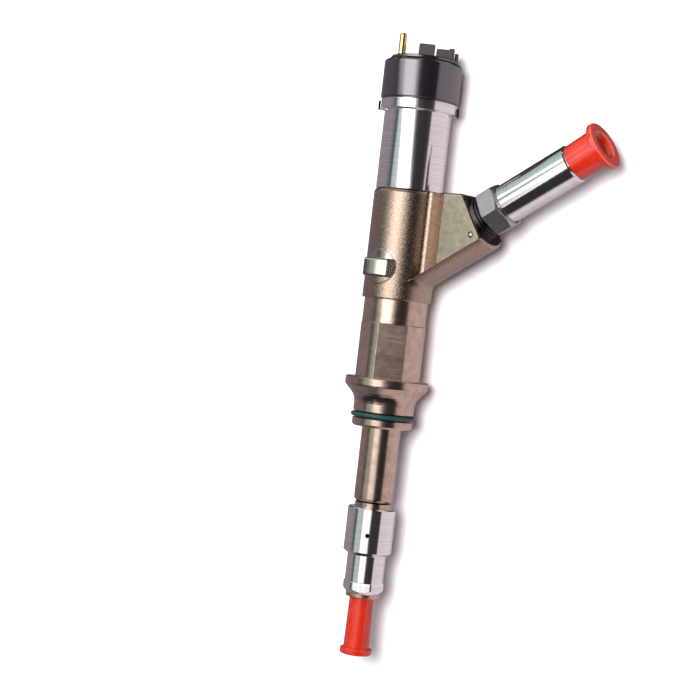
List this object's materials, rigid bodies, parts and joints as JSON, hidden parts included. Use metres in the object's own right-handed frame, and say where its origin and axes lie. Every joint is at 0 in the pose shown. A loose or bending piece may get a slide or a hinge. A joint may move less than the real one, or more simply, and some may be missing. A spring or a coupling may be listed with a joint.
{
  "type": "fuel injector",
  "caption": "Diesel fuel injector: long stepped steel body with a slanted side inlet, solenoid head with two pin terminals, slim nozzle and two protective push-on caps.",
  "frame": {"origin": "on the injector's axis, in the plane of the copper washer's lower face, where the injector seats in the head", "axes": "+Z along the injector's axis from the nozzle to the solenoid; the inlet arm leans towards +X in the XZ plane; +Y completes a right-handed frame"},
  "size_m": [0.1048, 0.0328, 0.2447],
  "materials": {
    "forged_steel": "plated forging, fine grain, bronze tint",
    "bright_steel": "ground and polished",
    "inner_steel": "ground",
    "seal_steel": "turned",
    "copper": "plain copper",
    "brass": "stamped",
    "gold_plate": "gold plated",
    "o_ring": "satin",
    "bobbin_plastic": "moulded",
    "cap_black": "gloss",
    "cap_red": "soft, slightly translucent"
  },
  "bodies": {
    "injector": {"injector_body": "forged_steel", "nozzle_nut": "bright_steel", "nozzle_body": "inner_steel", "needle_spring": "inner_steel", "spring_shim": "inner_steel", "dowel_pin_a": "inner_steel", "dowel_pin_b": "inner_steel", "copper_washer": "copper", "body_o_ring": "o_ring", "ball_plug": "bright_steel", "orifice_plate": "inner_steel", "armature_guide": "inner_steel", "armature_spring": "inner_steel", "stator_core": "inner_steel", "coil_bobbin": "bobbin_plastic", "coil_winding": "copper", "spring_stop": "inner_steel", "solenoid_housing": "bright_steel", "housing_o_ring": "o_ring", "contact_strip_left": "brass", "contact_strip_right": "brass", "terminal_pin_left": "gold_plate", "terminal_pin_right": "gold_plate", "terminal_cap": "cap_black", "inlet_fitting": "bright_steel", "inlet_seal_ring": "seal_steel", "edge_filter": "inner_steel"},
    "needle": {"nozzle_needle": "inner_steel", "spring_seat": "inner_steel", "control_piston": "inner_steel"},
    "armature": {"armature": "inner_steel", "valve_ball": "inner_steel"},
    "nozzle_cap": {"nozzle_cap": "cap_red"},
    "inlet_cap": {"inlet_cap": "cap_red"}
  },
  "joints": [
    {"name": "needle_lift", "type": "slide", "parent": "injector", "child": "needle", "axis": [0, 0, 1], "range_m": [0, 0.00025], "stiffness_N_per_m": 1000, "springref_m": -0.0005, "deforming": ["needle_spring"]},
    {"name": "armature_lift", "type": "slide", "parent": "injector", "child": "armature", "axis": [0, 0, 1], "range_m": [0, 0.00008], "stiffness_N_per_m": 500, "springref_m": -0.0005, "deforming": ["armature_spring"]},
    {"name": "nozzle_cap_pull", "type": "slide", "parent": "injector", "child": "nozzle_cap", "axis": [0, 0, -1], "range_m": [0, 0.03]},
    {"name": "inlet_cap_pull", "type": "slide", "parent": "injector", "child": "inlet_cap", "axis": [0.848, 0, 0.5299], "range_m": [0, 0.02]}
  ]
}
